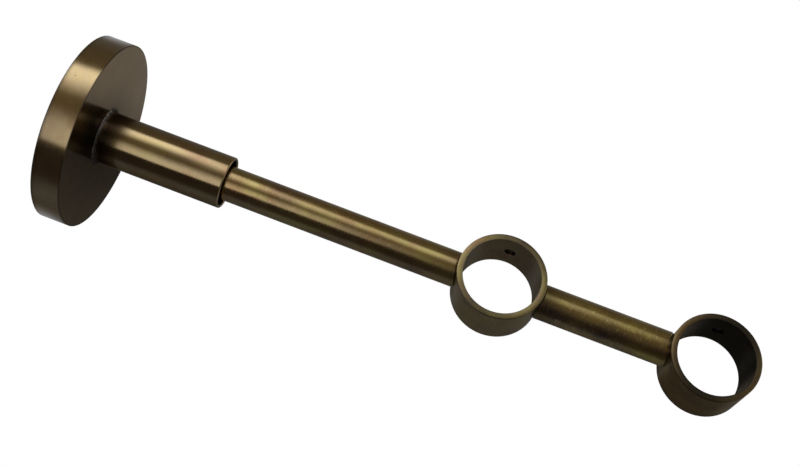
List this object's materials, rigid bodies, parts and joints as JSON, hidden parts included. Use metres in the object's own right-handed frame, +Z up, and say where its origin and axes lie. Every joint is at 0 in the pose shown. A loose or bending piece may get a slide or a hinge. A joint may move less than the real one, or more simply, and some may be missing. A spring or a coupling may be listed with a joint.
{
  "type": "curtain pole bracket",
  "caption": "Wall bracket for curtain poles: a round wall plate with a socket tube, and a sliding round-bar arm that carries closed pole rings with set screws.",
  "frame": {"origin": "on the wall, at the middle of the round wall plate's back", "axes": "+Y away from the wall along the arm, +X along the poles, +Z up"},
  "size_m": [0.065, 0.2404, 0.065],
  "materials": {
    "antique_brass": "brown antique brass, satin, fine polishing lines under lacquer",
    "dark_brass": "plain brass, darkened",
    "dark_steel": "black oxide",
    "zinc_steel": "bright zinc plate"
  },
  "bodies": {
    "base": {"wall_plate": "antique_brass", "wall_dish": "zinc_steel", "plate_screw": "dark_steel", "socket_tube": "antique_brass", "guide_bush": "dark_brass"},
    "arm": {"arm_rod": "antique_brass", "rear_ring": "antique_brass", "link_rod": "antique_brass", "front_ring": "antique_brass"},
    "arm_screw": {"arm_screw": "dark_steel"},
    "rear_pole_screw": {"rear_pole_screw": "dark_steel"},
    "front_pole_screw": {"front_pole_screw": "dark_steel"}
  },
  "joints": [
    {"name": "arm_slide", "type": "slide", "parent": "base", "child": "arm", "axis": [0, 1, 0], "range_m": [-0.019, 0.016]},
    {"name": "arm_screw_travel", "type": "slide", "parent": "base", "child": "arm_screw", "axis": [0, 0, 1], "range_m": [0, 0.002]},
    {"name": "rear_pole_screw_travel", "type": "slide", "parent": "arm", "child": "rear_pole_screw", "axis": [0, 0, -1], "range_m": [-0.0006, 0.0028]},
    {"name": "front_pole_screw_travel", "type": "slide", "parent": "arm", "child": "front_pole_screw", "axis": [0, 0, -1], "range_m": [-0.0006, 0.0028]}
  ]
}
